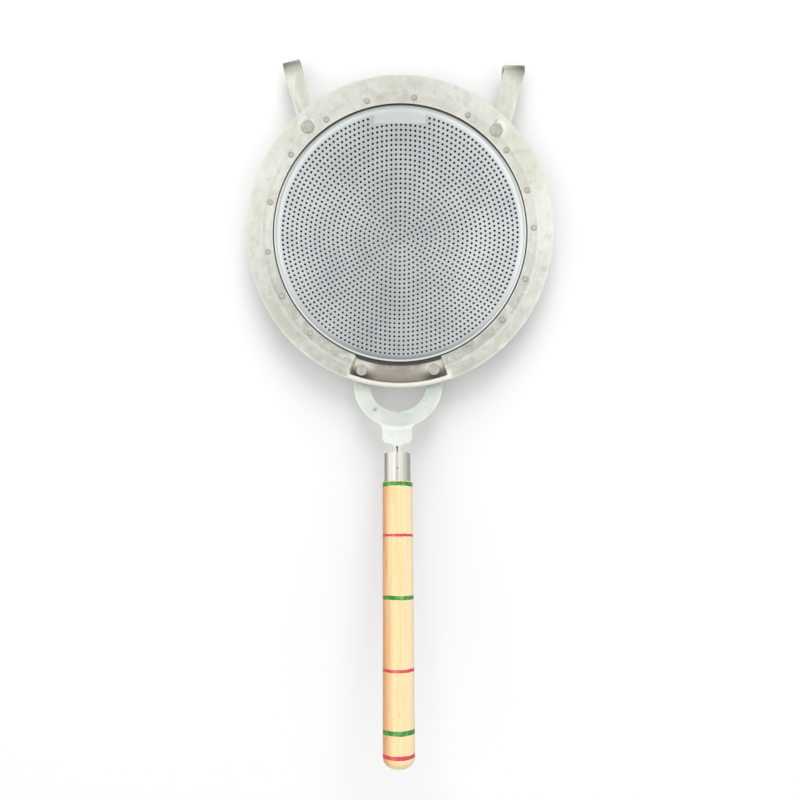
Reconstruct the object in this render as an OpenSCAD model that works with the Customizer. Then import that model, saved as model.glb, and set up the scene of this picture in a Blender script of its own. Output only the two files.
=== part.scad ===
// Perforated frying ladle. The pan faces up, its hooks point to +Y and its handle runs to -Y.
// The origin is the lowest point of the dish's underside, and +Z is the pan's own axis.

/* [Strainer disc] */
// Inside radius of the ball that the dish is pressed over
dish_curve_r = 370; // [300:5:500]
// Inside radius of the upright wall round the dish
dish_r = 107.8; // [100:0.2:120]
// Thickness of the disc's sheet
disc_sheet = 0.8; // [0.6:0.1:1.2]
// Height of the wall, from the dish's edge to the top of the flange
wall_h = 2.4; // [1.5:0.1:5]
// Outside radius of the round crest that the wall is turned over
crest_bend_r = 0.9; // [0.9:0.1:1.6]
// Width of the flange under the rim, from the crest outwards
flange_w = 16; // [14:0.5:16.5]
// Width of the border between the outermost drain holes and the wall
hole_border = 5.1; // [4:0.1:15]
// Rings of drain holes round the centre hole, half as many as the real disc has
hole_rings = 13; // [2:1:14]
// Diameter of a drain hole
hole_d = 1.9; // [1.5:0.1:4]
// Width of the blank plate at the front, where the outermost holes are left out
plate_w = 48; // [20:1:70]

/* [Rim] */
// Thickness of the rim's sheet
rim_sheet = 1; // [0.8:0.1:1.5]
// Gap between the crest and the rim's inner edge
rim_gap = 0.7; // [0.3:0.1:1.5]
// Width of the flat inner band
band_w = 9.5; // [9:0.1:11]
// Width of the pressed step outside the flat band
step_w = 1.6; // [1:0.1:2.5]
// Height of the pressed step
step_h = 0.8; // [0.4:0.1:1]
// Width of the outer band
outer_w = 11; // [9:0.1:16]
// Height that the outer band climbs to the rim's edge
outer_climb = 2.6; // [1:0.1:5]

/* [Pocket for the bracket] */
// Gap between the side of an arm of the bracket and the pocket's end
pocket_end_gap = 1.55; // [0.7:0.05:6]
// Turn of the pocket round the pan's axis, clockwise from above
pocket_turn = 0.8; // [0:0.1:2]
// Depth of the pocket's floor below the flat band
pocket_drop = 3.7; // [3:0.1:5]
// Gap between the disc's wall and the pocket's floor
pocket_gap = 4.5; // [3.2:0.1:5.2]
// Width of the sloped wall at the pocket's left end
slope_run = 3; // [1.5:0.1:3.5]
// Thickness of the folded lip along the pocket's outer edge
lip_d = 4.4; // [3:0.1:5]
// Width of the flat seat round the head of a hook's rivet
seat_margin = 1.2; // [0.8:0.1:2]

/* [Rivets] */
// Distance of the small rivets from the rim's inner edge
small_inset = 5.4; // [4:0.1:6.5]
// Head diameter of a small rivet
small_head_d = 4.2; // [3:0.1:5]
// Head height of a small rivet
small_head_h = 0.9; // [0.5:0.1:1.5]
// Shank diameter of a small rivet
small_shank_d = 2.4; // [1.5:0.1:2.8]
// Head diameter of a large rivet
big_head_d = 10.3; // [8:0.1:11]
// Head height of a large rivet
big_head_h = 1.2; // [0.8:0.1:2]
// Shank diameter of a large rivet
big_shank_d = 5; // [3:0.1:6]
// Clearance round a rivet's shank
rivet_play = 0.05; // [0.05:0.05:0.2]

/* [Hooks] */
// Width of a hook's strip at its rivet
hook_w = 14.4; // [13.5:0.1:15]
// Thickness of a hook's strip
hook_sheet = 1.2; // [1:0.1:2]
// Distance of a hook's rivet from the rim's inner edge
hook_rivet_inset = 10.1; // [9.2:0.1:11.2]
// Reach of the left hook, from its rivet to the outside of its bend
left_hook_reach = 59; // [50:0.5:80]
// Reach of the right hook
right_hook_reach = 58; // [50:0.5:80]
// Length of strip inside the rivet
hook_tail = 6.5; // [6:0.1:7]
// Gap between a hook's two legs
hook_mouth = 12; // [6:0.2:14]
// Length of the lower leg, from its end to the outside of the bend
hook_leg = 20; // [12:0.5:25]
// Angle of the left hook's rivet from the front
left_hook_at = 40.8; // [38:0.1:45]
// Angle of the right hook's rivet from the front
right_hook_at = 43; // [38:0.1:45]
// Outward lean of the left hook's strip
left_hook_lean = 15; // [5:0.1:25]
// Outward lean of the right hook's strip
right_hook_lean = 11.4; // [5:0.1:25]
// Outward lean of the left hook's bend
left_bend_lean = 13; // [5:0.1:20]
// Outward lean of the right hook's bend, which was bent askew
right_bend_lean = 0; // [-5:0.1:15]
// Width of the left hook at its bend
left_bend_w = 14.6; // [12:0.1:18]
// Width of the right hook at its bend
right_bend_w = 17.8; // [12:0.1:18]
// Distance of the right strip's middle line from its rivet
right_tail_offset = 3.5; // [0:0.1:3.5]
// Distance of the right bend's middle from the rivet's line
right_bend_offset = 5; // [0:0.1:6]
// Distance that the right hook's lower leg drifts inwards
right_leg_drift = 4.4; // [0:0.1:5]

/* [Fork bracket] */
// Thickness of the bracket's sheet
fork_sheet = 1.8; // [1.5:0.1:2.2]
// Outside radius of the fork
fork_outer_r = 39.3; // [37:0.1:41]
// Distance of the fork's middle to the left of the pan's axis
fork_shift = 1.6; // [0:0.1:3]
// Turn of the bracket and the handle, counterclockwise from above
fork_turn = 0.7; // [0:0.1:2]
// Width of an arm
arm_w = 14.1; // [12:0.1:15]
// Distance of the bracket's rivets from the inner edge of the pocket's floor
fork_rivet_inset = 8.1; // [7.9:0.1:8.9]
// Length of an arm inside its rivet
arm_tail = 6.6; // [6:0.1:7]
// Distance of the bend in the arms from the rim's edge, inwards
bend_inset = 5.4; // [4.4:0.1:5.9]
// Distance from the bend to the fork's centre
fork_centre = 2.5; // [1:0.1:5]
// Half width of the plate behind the fork
plate_half_w = 12.8; // [10:0.1:16]
// Distance of the plate and the handle to the left of the fork's middle
plate_shift = 1; // [0:0.1:2]
// Radius of the corner between the fork and the plate
plate_fillet = 6; // [3:0.5:10]
// Distance from the bend to the plate's square end
plate_end = 56; // [52:0.5:60]
// Depth of the folded tang
tang_depth = 8; // [6:0.1:9]
// Width of the tang's open top
tang_top_w = 5.2; // [4.8:0.1:6]
// Length of the tang inside the handle
tang_in = 60; // [40:1:100]

/* [Handle] */
// Rise of the handle above the pan's level
handle_rise = 18; // [5:0.5:25]
// Length of the tang that shows between the plate and the ferrule
neck_gap = 8.3; // [7:0.1:19]
// Outside diameter of the ferrule
ferrule_d = 22.6; // [20:0.1:26]
// Wall of the ferrule
ferrule_wall = 0.8; // [0.6:0.1:1.2]
// Length of the ferrule
ferrule_len = 24.6; // [18:0.1:35]
// Diameter of the wood at the ferrule
wood_d = 25.8; // [24:0.1:30]
// Diameter of the wood near the butt
butt_d = 25.6; // [24:0.1:32]
// Length of the bare wood
wood_len = 224; // [150:1:300]
// Radius of the butt's rounded edge
butt_round = 8; // [5:0.1:10]
// Clearance between the wood and what is pressed on it or in it
wood_play = 0.1; // [0.05:0.05:0.3]
// Head diameter of the ferrule's nail
nail_head_d = 2; // [1.5:0.1:3]
// Length of the ferrule's nail
nail_len = 5.5; // [4:0.1:5.8]

/* [Hidden] */
$fn = 96;

// Where the hand-set small rivets sit round the rim, in degrees from +X
small_rivet_angles = [-39, -19, 3, 19, 38, 60, 84, 104, 123, 144, 166, 187, 207, 227];

// Heights of the sheets, one on the other
ball_z = dish_curve_r + disc_sheet;
dish_edge_z = ball_z - sqrt(pow(dish_curve_r, 2) - pow(dish_r, 2));
flange_top = dish_edge_z + wall_h;
flange_bottom = flange_top - disc_sheet;
band_top = flange_top + rim_sheet;
floor_top = band_top - pocket_drop;
floor_bottom = floor_top - rim_sheet;

// The hooks' seats are pressed a little into the flat band, and stand clear of the flange under its step
seat_sink = 0.05;

// The lip sinks below the rim's edge by a share of its thickness, stands out over it and swells at its ends
lip_sink = 0.3;
lip_overhang = 0.2;
lip_end_swell = 0.3;
lip_ledge = 0.1;

// Radii of the sheets, from the dish outwards
wall_out_r = dish_r + disc_sheet;
crest_r = dish_r + crest_bend_r;
crest_out_r = dish_r + 2*crest_bend_r;
flange_out_r = crest_out_r + flange_w;
rim_in_r = crest_out_r + rim_gap;
band_out_r = rim_in_r + band_w;
step_out_r = band_out_r + step_w;
edge_r = step_out_r + outer_w;
edge_z = band_top + step_h + outer_climb;
lip_path_r = edge_r + lip_overhang - lip_d/2;
lip_z = edge_z - lip_sink*lip_d;
floor_in_r = wall_out_r + pocket_gap;
pocket_out_r = edge_r - lip_d - lip_ledge;
seat_d = big_head_d + 2*seat_margin;
hook_rivet_r = rim_in_r + hook_rivet_inset;
fork_rivet_r = floor_in_r + fork_rivet_inset;

// The pocket's two ends, how much longer the cut in the flange is at each end, and what the cut leaves of it
pocket_angle = 2*asin((fork_outer_r + pocket_end_gap)/fork_rivet_r);
pocket_start = 270 - pocket_angle/2;
pocket_stop = 270 + pocket_angle/2;
flange_margin = 1.5;
flange_stub = 0.05;
slope_margin = 5;
// Thickness of the wall under the pocket's left slope, measured along the rim in thicknesses of the sheet
slope_wall = 1.5;

// The fork's frame starts at the bend in its arms
arm_top = floor_bottom;
arm_bottom = arm_top - fork_sheet;
fork_inner_r = fork_outer_r - arm_w;
arm_mid = fork_outer_r - arm_w/2;
arm_rivet_y = sqrt(pow(fork_rivet_r, 2) - pow(arm_mid, 2));
bend_y = edge_r - bend_inset;
ferrule_start = plate_end + neck_gap;
tang_bottom_w = 2*fork_sheet;
spigot_d = ferrule_d - 2*ferrule_wall - 2*wood_play;
spigot_inset = 1.5;
axis_drop = tang_depth/2;

slack = 0.01;
far = 400;

// Points of an arc from angle a to angle b
function arc(centre, r, a, b, steps = 24) = [for (i = [0:steps])
    centre + r*[cos(a + (b - a)*i/steps), sin(a + (b - a)*i/steps)]];

// Keeps the part of a ring between two angles from +X
module sector(a, b, r, z0, z1) {
    translate([0, 0, z0])
        rotate([0, 0, a])
            rotate_extrude(angle = b - a)
                square([r, z1 - z0]);
}

// A rivet with its head on a face at z = 0, through a stack of sheets, and closed underneath
module rivet(head_d, head_h, shank_d, stack) {
    chamfer = head_h/3;
    foot_d = (head_d + shank_d)/2;
    foot_h = head_h*0.6;
    rotate_extrude()
        polygon([
            [0, head_h],
            [head_d/2 - chamfer, head_h],
            [head_d/2, head_h - chamfer],
            [head_d/2, 0],
            [shank_d/2, 0],
            [shank_d/2, -stack],
            [foot_d/2, -stack],
            [foot_d/2 - chamfer/2, -stack - foot_h],
            [0, -stack - foot_h]]);
}

module rivet_hole(d) {
    cylinder(h = far, d = d + 2*rivet_play, center = true);
}

// Places of the small rivets, the hooks' rivets and the bracket's rivets
module at_small_rivets() {
    for (a = small_rivet_angles)
        rotate([0, 0, a])
            translate([rim_in_r + small_inset, 0, 0])
                children();
}

module at_left_hook() {
    rotate([0, 0, left_hook_at])
        translate([0, hook_rivet_r, 0])
            rotate([0, 0, left_hook_lean - left_hook_at])
                children();
}

module at_right_hook() {
    rotate([0, 0, -right_hook_at])
        translate([0, hook_rivet_r, 0])
            rotate([0, 0, right_hook_at - right_hook_lean])
                children();
}

module at_hooks() {
    at_left_hook()
        children();
    at_right_hook()
        children();
}

// The pocket's frame, in which its middle is towards -Y
module at_pocket() {
    rotate([0, 0, -pocket_turn])
        children();
}

// The bracket's frame: it sits a little to the left and turns back to the right
module at_bracket() {
    translate([-fork_shift, -arm_rivet_y, 0])
        rotate([0, 0, fork_turn])
            translate([0, arm_rivet_y, 0])
                children();
}

module at_bracket_rivets() {
    for (side = [-1, 1])
        translate([side*arm_mid, -arm_rivet_y, 0])
            children();
}

// The frame of the bracket's plate: its top face is z = 0, and the handle runs to -Y
module along_handle() {
    translate([0, -bend_y, arm_top])
        rotate([-handle_rise, 0, 0])
            children();
}

// The frame of the handle's axis, with +Z towards the butt and z = 0 at the ferrule's front
module on_axis() {
    along_handle()
        translate([-plate_shift, -ferrule_start, -axis_drop])
            rotate([90, 0, 0])
                children();
}

// Strainer disc
module disc_section() {
    // The pressed dish, up to the wall
    intersection() {
        translate([0, ball_z])
            difference() {
                circle(r = ball_z, $fn = 720);
                circle(r = dish_curve_r, $fn = 720);
            }
        square([wall_out_r, dish_edge_z]);
    }
    // The wall and the leg that comes down from the crest
    translate([dish_r, dish_edge_z - slack])
        square([disc_sheet, wall_h + slack]);
    // The round crest
    translate([crest_r, flange_top])
        difference() {
            circle(r = crest_bend_r, $fn = 48);
            circle(r = crest_bend_r - disc_sheet, $fn = 48);
            translate([-far/2, -far])
                square([far, far]);
        }
    // The flange under the rim
    translate([crest_out_r - disc_sheet, flange_bottom])
        square([flange_w + disc_sheet, disc_sheet]);
}

// A drain hole, square to the dish: fall is its angle from the lowest point, turn its place in the ring
module drain_hole(fall, turn) {
    translate([0, 0, ball_z])
        rotate([0, 0, turn])
            rotate([fall, 0, 0])
                translate([0, 0, -dish_curve_r - 2*disc_sheet])
                    cylinder(h = 3*disc_sheet, d = hole_d, $fn = 24);
}

// Ring n holds 6n holes, and the rings stand one pitch apart along the sheet
function ring_fall(n) = asin((dish_r - hole_border)/dish_curve_r)*n/hole_rings;

function under_plate(n, turn) = n == hole_rings
    && abs(dish_curve_r*sin(ring_fall(n))*sin(turn)) < plate_w/2 && cos(turn) > 0;

drain_holes = [for (n = [1:hole_rings], i = [0:6*n - 1])
    let (turn = 60*i/n)
        if (!under_plate(n, turn)) [ring_fall(n), turn]];

module strainer_disc() {
    color("#cbd5da")
    difference() {
        rotate_extrude()
            disc_section();
        // The flange is cut away over the pocket
        at_pocket()
            difference() {
                sector(pocket_start - flange_margin, pocket_stop + flange_margin,
                    far/2, flange_bottom - 1, flange_top + 1);
                cylinder(h = far, r = crest_out_r + flange_stub, center = true);
            }
        drain_hole(0, 0);
        for (h = drain_holes)
            drain_hole(h[0], h[1]);
        at_small_rivets()
            rivet_hole(small_shank_d);
        at_hooks()
            rivet_hole(big_shank_d);
    }
}

// Rim
rim_top_line = [
    [rim_in_r, band_top],
    [band_out_r, band_top],
    [step_out_r, band_top + step_h],
    [edge_r, edge_z]];

// A sheet of the rim's thickness that hangs under a line
function under_line(line, drop) = concat(line, [for (i = [len(line) - 1:-1:0]) line[i] - [0, drop]]);

// Everything from the middle of the rim's sheet down to the pocket's floor
module under_rim() {
    rotate_extrude()
        polygon(concat(
            [for (p = rim_top_line) p - [0, rim_sheet/2]],
            [[edge_r, floor_bottom],
             [rim_in_r, floor_bottom]]));
}

// The space in the pocket, or with a wall round it the block that the space is cut from
module pocket_space(in_r, out_r, wall) {
    right = pocket_stop + wall*180/(PI*fork_rivet_r);
    lean = slope_run/pocket_drop;
    high = 3*pocket_drop;
    difference() {
        rotate([0, 0, pocket_start - slope_margin])
            rotate_extrude(angle = right - pocket_start + slope_margin)
                translate([in_r, floor_top - wall])
                    square([out_r - in_r, high + wall]);
        // The left end slopes down to the floor
        rotate([0, 0, pocket_start])
            translate([0, -slope_wall*wall, floor_top])
                rotate([90, 0, 90])
                    linear_extrude(height = far)
                        polygon([
                            [slope_run + lean*high, -high],
                            [slope_run - lean*2*high, 2*high],
                            [-far, 2*high],
                            [-far, -high]]);
    }
}

// The rim's edge is folded over along the pocket, and the fold has round ends
module lip() {
    for (end = [pocket_start, pocket_stop])
        rotate([0, 0, end])
            translate([lip_path_r, 0, lip_z])
                sphere(r = lip_d/2 + lip_end_swell, $fn = 96);
    rotate([0, 0, pocket_start])
        rotate_extrude(angle = pocket_angle)
            translate([lip_path_r, lip_z])
                circle(r = lip_d/2, $fn = 48);
}

module pressed_forms() {
    intersection() {
        under_rim();
        union() {
            at_pocket()
                pocket_space(floor_in_r, pocket_out_r + rim_sheet, rim_sheet);
            at_hooks()
                translate([0, 0, flange_top + seat_sink])
                    cylinder(h = far, d = seat_d + 2*rim_sheet);
        }
    }
}

module rim_ring() {
    color("#e6e6dc")
    difference() {
        union() {
            difference() {
                rotate_extrude()
                    polygon(under_line(rim_top_line, rim_sheet));
                at_pocket()
                    pocket_space(rim_in_r - 1, edge_r + 1, 0);
            }
            pressed_forms();
            at_pocket()
                lip();
        }
        at_pocket()
            pocket_space(rim_in_r - 1, pocket_out_r, 0);
        // The flat seats of the hooks' rivets
        at_hooks()
            translate([0, 0, band_top - seat_sink])
                cylinder(h = far, d = seat_d);
        at_small_rivets()
            rivet_hole(small_shank_d);
        at_hooks()
            rivet_hole(big_shank_d);
        at_bracket()
            at_bracket_rivets()
                rivet_hole(big_shank_d);
    }
}

module disc_rivets() {
    color("#d4d4c8")
    at_small_rivets()
        translate([0, 0, band_top])
            rivet(small_head_d, small_head_h, small_shank_d, rim_sheet + disc_sheet);
}

// Hooks
hook_bend_r = hook_mouth/2 + hook_sheet;

// A point of the strip, seen from the frame of its bend
function from_bend(p, bend, askew) = let (d = p - bend)
    [d[0]*cos(askew) + d[1]*sin(askew), d[1]*cos(askew) - d[0]*sin(askew)];

// A hook in its rivet's frame, with its top face at z = 0 and its strip towards +Y. The offsets are the
// places of its tail's and its bend's middle, the bend stands askew, and drift takes the lower leg to the left
module hook(reach, tail_offset, bend_offset, askew, bend_w, drift) {
    bend = [bend_offset, reach - hook_bend_r];
    side = bend_w/2;
    leg_end = hook_bend_r - hook_leg;
    translate(bend)
        rotate([0, 0, askew]) {
            // The flat strip, up to the line where the bend starts
            translate([0, 0, -hook_sheet])
                linear_extrude(height = hook_sheet)
                    polygon([
                        [-side, 0],
                        from_bend([tail_offset - hook_w/2, -hook_tail], bend, askew),
                        from_bend([tail_offset + hook_w/2, -hook_tail], bend, askew),
                        [side, 0]]);
            // The half-round bend
            translate([-side, 0, -hook_bend_r])
                rotate([90, 0, 90])
                    linear_extrude(height = bend_w)
                        difference() {
                            circle(r = hook_bend_r, $fn = 64);
                            circle(r = hook_bend_r - hook_sheet, $fn = 64);
                            translate([-far, -far/2])
                                square([far, far]);
                        }
            // The lower leg
            translate([0, 0, -2*hook_bend_r])
                linear_extrude(height = hook_sheet)
                    polygon([
                        [-side, 0],
                        [side, 0],
                        [side - drift, leg_end],
                        [side - drift - hook_w, leg_end]]);
        }
}

module left_hook() {
    color("#dfe0d8")
    difference() {
        translate([0, 0, flange_bottom])
            at_left_hook()
                hook(left_hook_reach, 0, 0, left_bend_lean - left_hook_lean, left_bend_w, 0);
        at_left_hook()
            rivet_hole(big_shank_d);
    }
}

module right_hook() {
    color("#dfe0d8")
    difference() {
        translate([0, 0, flange_bottom])
            at_right_hook()
                hook(right_hook_reach, right_tail_offset, right_bend_offset,
                    right_hook_lean - right_bend_lean, right_bend_w, right_leg_drift);
        at_right_hook()
            rivet_hole(big_shank_d);
    }
}

module hook_rivets() {
    color("#cfcfc8")
    translate([0, 0, band_top - seat_sink])
        at_hooks()
            rivet(big_head_d, big_head_h, big_shank_d, rim_sheet + disc_sheet + hook_sheet - seat_sink);
}

// Fork bracket
// Middle of the corner's circle between the fork's outside and the plate's side
function fillet_centre(side) = [side + plate_fillet,
    -fork_centre - sqrt(pow(fork_outer_r + plate_fillet, 2) - pow(side + plate_fillet, 2))];

// The shallow notch in the middle of the fork's inner arc
notch_depth = 1.8;
notch_angle = 4.5;

// The plate's end: its cut corners, its square shoulders and the slope into the neck
plate_corner_w = 2.5;
plate_corner_len = 4;
plate_shoulder = 6;
neck_slope = 2.5;

// Half of the plate's outline behind the bend, from the inside of the fork round to its end, with the plate's
// side at a distance from the fork's middle line
function fork_half(side) = let (
    corner = fillet_centre(side),
    turn = atan2(-fork_centre - corner[1], -corner[0]))
    concat(
        [[0, -fork_centre - fork_inner_r - notch_depth]],
        arc([0, -fork_centre], fork_inner_r, notch_angle - 90, 0),
        [[fork_inner_r, 0], [fork_outer_r, 0]],
        arc([0, -fork_centre], fork_outer_r, 0, turn - 180, 32),
        arc(corner, plate_fillet, turn, 180, 12),
        [[side, plate_corner_len - plate_end],
         [side - plate_corner_w, -plate_end],
         [side - plate_shoulder, -plate_end],
         [0, -plate_end - neck_slope]]);

module fork_plate() {
    translate([0, 0, -fork_sheet])
        linear_extrude(height = fork_sheet)
            union() {
                polygon(fork_half(plate_half_w - plate_shift));
                mirror([1, 0, 0])
                    polygon(fork_half(plate_half_w + plate_shift));
            }
}

// An arm from its round end under the pocket to the bend
module fork_arm() {
    translate([0, 0, arm_bottom])
        linear_extrude(height = fork_sheet) {
            translate([fork_inner_r, -bend_y])
                square([arm_w, bend_y - arm_rivet_y]);
            translate([arm_mid, -arm_rivet_y])
                intersection() {
                    circle(r = arm_w/2);
                    translate([-arm_w/2, 0])
                        square([arm_w, arm_tail]);
                }
        }
    // The wedge that closes the bend's underside
    translate([fork_inner_r, -bend_y, arm_top])
        rotate([90, 0, 90])
            linear_extrude(height = arm_w)
                polygon([
                    [0, 0],
                    [0, -fork_sheet],
                    [-fork_sheet*tan(handle_rise/2), -fork_sheet],
                    [-fork_sheet*sin(handle_rise), -fork_sheet*cos(handle_rise)]]);
}

// The folded tang's section, open at the top
module tang_section(play) {
    polygon([
        [-tang_top_w/2 - play, play],
        [tang_top_w/2 + play, play],
        [tang_bottom_w/2 + play, -tang_depth - play],
        [-tang_bottom_w/2 - play, -tang_depth - play]]);
}

// The plate narrows to the fold over the neck, and the crease of the fold is wider than the tang's groove
neck_len = 4;
tang_start = plate_end + neck_len;
tang_end = ferrule_start + tang_in;
fold_w = 16;
fold_len = 12;
groove_w = tang_top_w - 2*fork_sheet;
groove_floor = 2 - tang_depth;
crease_w = groove_w + 1;
sliver = 0.1;

module folded_tang() {
    difference() {
        union() {
            translate([0, -tang_start, 0])
                rotate([90, 0, 0])
                    linear_extrude(height = tang_end - tang_start)
                        tang_section(0);
            // The plate closes into the fold
            hull() {
                translate([-fold_w/2, fold_len - tang_start, -fork_sheet])
                    cube([fold_w, sliver, fork_sheet]);
                translate([0, sliver - tang_start, 0])
                    rotate([90, 0, 0])
                        linear_extrude(height = sliver)
                            tang_section(0);
            }
        }
        // The crease deepens and widens towards the tang
        hull() {
            translate([-crease_w/2, -tang_start, 0])
                cube([crease_w, sliver, sliver]);
            translate([-sliver, -tang_start, groove_floor])
                cube([2*sliver, sliver, sliver]);
            translate([-sliver, fold_len - 1 - tang_start, 0])
                cube([2*sliver, sliver, sliver]);
        }
        // The tang's own groove
        translate([0, -tang_start, 0])
            rotate([90, 0, 0])
                linear_extrude(height = far)
                    polygon([
                        [-groove_w/2, slack],
                        [groove_w/2, slack],
                        [sliver, groove_floor],
                        [-sliver, groove_floor]]);
    }
}

module fork_bracket() {
    color("#e1e8e1")
    at_bracket()
        difference() {
            union() {
                fork_arm();
                mirror([1, 0, 0])
                    fork_arm();
                along_handle() {
                    fork_plate();
                    translate([-plate_shift, 0, 0])
                        folded_tang();
                }
            }
            at_bracket_rivets()
                rivet_hole(big_shank_d);
        }
}

module bracket_rivets() {
    color("#c8c2b8")
    translate([0, 0, floor_top])
        at_bracket()
            at_bracket_rivets()
                rivet(big_head_d, big_head_h, big_shank_d, rim_sheet + fork_sheet);
}

// Handle
module ferrule() {
    color("#d8d8cc")
    at_bracket()
        on_axis()
            difference() {
                cylinder(h = ferrule_len, d = ferrule_d);
                translate([0, 0, -1])
                    cylinder(h = ferrule_len + 2, d = ferrule_d - 2*ferrule_wall);
                nail_hole(nail_head_d/2);
            }
}

// Place of the nail along the ferrule, height of its head and of the gap under it, and length of its point
nail_at = 14;
nail_head_h = 0.5;
nail_head_gap = 0.05;
nail_point = 1;

// The nail's frame: +Z points out through the top of the ferrule
module at_nail() {
    translate([0, 0, nail_at])
        rotate([-90, 0, 0])
            children();
}

module nail_hole(d) {
    at_nail()
        cylinder(h = far, d = d + 2*rivet_play);
}

module ferrule_nail() {
    color("#77776c")
    at_bracket()
        on_axis()
            at_nail()
                translate([0, 0, ferrule_d/2])
                    rotate_extrude()
                        polygon([
                            [0, nail_head_h],
                            [nail_head_d*0.3, nail_head_h*0.8],
                            [nail_head_d/2, 2*nail_head_gap],
                            [nail_head_d/4, nail_head_gap],
                            [nail_head_d/4, nail_point - nail_len],
                            [0, -nail_len]]);
}

wood_edge = 0.6;

module handle() {
    wood_start = ferrule_len + wood_play;
    wood_end = ferrule_len + wood_len;
    color("#f0d3a0")
    at_bracket()
        difference() {
            on_axis()
                difference() {
                    rotate_extrude()
                        polygon(concat(
                            [[0, spigot_inset],
                             [spigot_d/2, spigot_inset],
                             [spigot_d/2, wood_start],
                             [wood_d/2 - wood_edge, wood_start],
                             [wood_d/2, wood_start + wood_edge]],
                            arc([butt_d/2 - butt_round, wood_end - butt_round], butt_round, 0, 90),
                            [[0, wood_end]]));
                    nail_hole(nail_head_d/2);
                }
            // The slot that the tang is driven into
            along_handle()
                translate([-plate_shift, 1 - ferrule_start, 0])
                    rotate([90, 0, 0])
                        linear_extrude(height = tang_in + 2)
                            tang_section(wood_play);
        }
}

strainer_disc();
rim_ring();
disc_rivets();
left_hook();
right_hook();
hook_rivets();
fork_bracket();
bracket_rivets();
ferrule();
ferrule_nail();
handle();
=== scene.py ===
import math

import bmesh
import bpy
from mathutils import Matrix, Vector
from mathutils.geometry import delaunay_2d_cdt


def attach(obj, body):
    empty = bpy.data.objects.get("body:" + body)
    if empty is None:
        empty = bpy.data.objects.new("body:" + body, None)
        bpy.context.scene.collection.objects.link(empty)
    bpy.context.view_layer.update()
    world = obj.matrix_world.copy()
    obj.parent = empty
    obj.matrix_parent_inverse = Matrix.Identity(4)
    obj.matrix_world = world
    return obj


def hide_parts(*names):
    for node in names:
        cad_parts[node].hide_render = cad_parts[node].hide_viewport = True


bl_info = {
    "name": "Perforated frying ladle",
    "version": (1, 0, 0),
    "blender": (4, 5, 0),
    "location": "3D View > Sidebar > Ladle",
    "description": "Dresses the ladle's solids with drain holes, tinned metal, rivets and a painted wooden handle",
    "category": "Object",
}

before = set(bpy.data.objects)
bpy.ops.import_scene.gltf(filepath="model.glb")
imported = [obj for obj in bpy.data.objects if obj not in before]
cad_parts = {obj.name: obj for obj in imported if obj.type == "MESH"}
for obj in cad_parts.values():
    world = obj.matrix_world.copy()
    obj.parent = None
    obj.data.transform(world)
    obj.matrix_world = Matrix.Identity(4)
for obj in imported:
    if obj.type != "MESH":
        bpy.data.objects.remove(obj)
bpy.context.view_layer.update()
MM = 0.001

# The bracket sits a little to the left, turns back to the right, and rises behind the bend of its arms
RISE = math.radians(18)
FORK_SHIFT = 1.6 * MM
FORK_TURN = math.radians(0.7)
RIVET_ROW = 116.83 * MM
BRACKET = (Matrix.Translation((-FORK_SHIFT, -RIVET_ROW, 0)) @ Matrix.Rotation(FORK_TURN, 4, "Z")
           @ Matrix.Translation((0, RIVET_ROW, 0)))
PLATE = BRACKET @ Matrix.Translation((0, -127 * MM, 15.552 * MM)) @ Matrix.Rotation(-RISE, 4, "X")
# The handle's frame: +Z runs along its axis from the ferrule's front, +Y points down and +X to the right
HANDLE = PLATE @ Matrix.Translation((-1 * MM, -64.3 * MM, -4 * MM)) @ Matrix.Rotation(math.pi / 2, 4, "X")

# Heights of the sheets' top faces: the rim's flat band, the pocket's floor and the dish's flange
BAND_TOP = 20.252 * MM
FLOOR_TOP = 16.552 * MM
FLANGE_TOP = 19.252 * MM
# The flat seats round the hooks' rivets are pressed a little deeper
SEAT_TOP = 20.202 * MM

# Where the small rivets sit round the rim, in degrees from +X, and the middles of the large ones
SMALL_RIVETS = (-39, -19, 3, 19, 38, 60, 84, 104, 123, 144, 166, 187, 207, 227)
SMALL_RIVET_R = 115.7 * MM
HOOK_RIVETS = ((-78.67 * MM, 91.14 * MM), (82.11 * MM, 88.06 * MM))
ARM_MID = 32.25 * MM
BRACKET_RIVETS = tuple((BRACKET @ Vector((side * ARM_MID, -RIVET_ROW, 0))).xy[:] for side in (-1, 1))
SHEET = 0.8 * MM

# The painted bands: distance from the ferrule's front, width and paint
BANDS = (
    (27.2, 3.6, "green"),
    (70.0, 2.3, "red"),
    (120.0, 3.2, "green"),
    (176.0, 2.5, "red"),
    (221.6, 3.6, "green"),
    (239.0, 3.0, "red"),
)


# A dark stain on the fork's left arm, in the plate's frame
FORK_STAIN = (-20.5 * MM, -25.5 * MM, 0)


def linear(hex_colour):
    """An sRGB colour such as #C8B090 as Blender's linear one."""
    values = [int(hex_colour[i:i + 2], 16) / 255 for i in (1, 3, 5)]
    return [v / 12.92 if v <= 0.04045 else ((v + 0.055) / 1.055) ** 2.4 for v in values] + [1]


def settings_hex(colour):
    """A colour property as the sRGB hex value that the ramps take."""
    def channel(v):
        return round(255 * (12.92 * v if v <= 0.0031308 else 1.055 * v ** (1 / 2.4) - 0.055))
    return "#" + "".join(f"{channel(v):02X}" for v in colour[:3])


# Materials


def add(tree, kind, settings=None, **inputs):
    """Adds a node of a kind with its settings, and with numbers, colours or other nodes' sockets as its inputs."""
    node = tree.nodes.new(kind)
    for name, value in (settings or {}).items():
        setattr(node, name, value)
    for name, value in inputs.items():
        key = int(name[1:]) if name[1:].isdigit() else name.replace("_", " ")
        if isinstance(value, bpy.types.NodeSocket):
            tree.links.new(value, node.inputs[key])
        else:
            node.inputs[key].default_value = value
    return node


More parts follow.
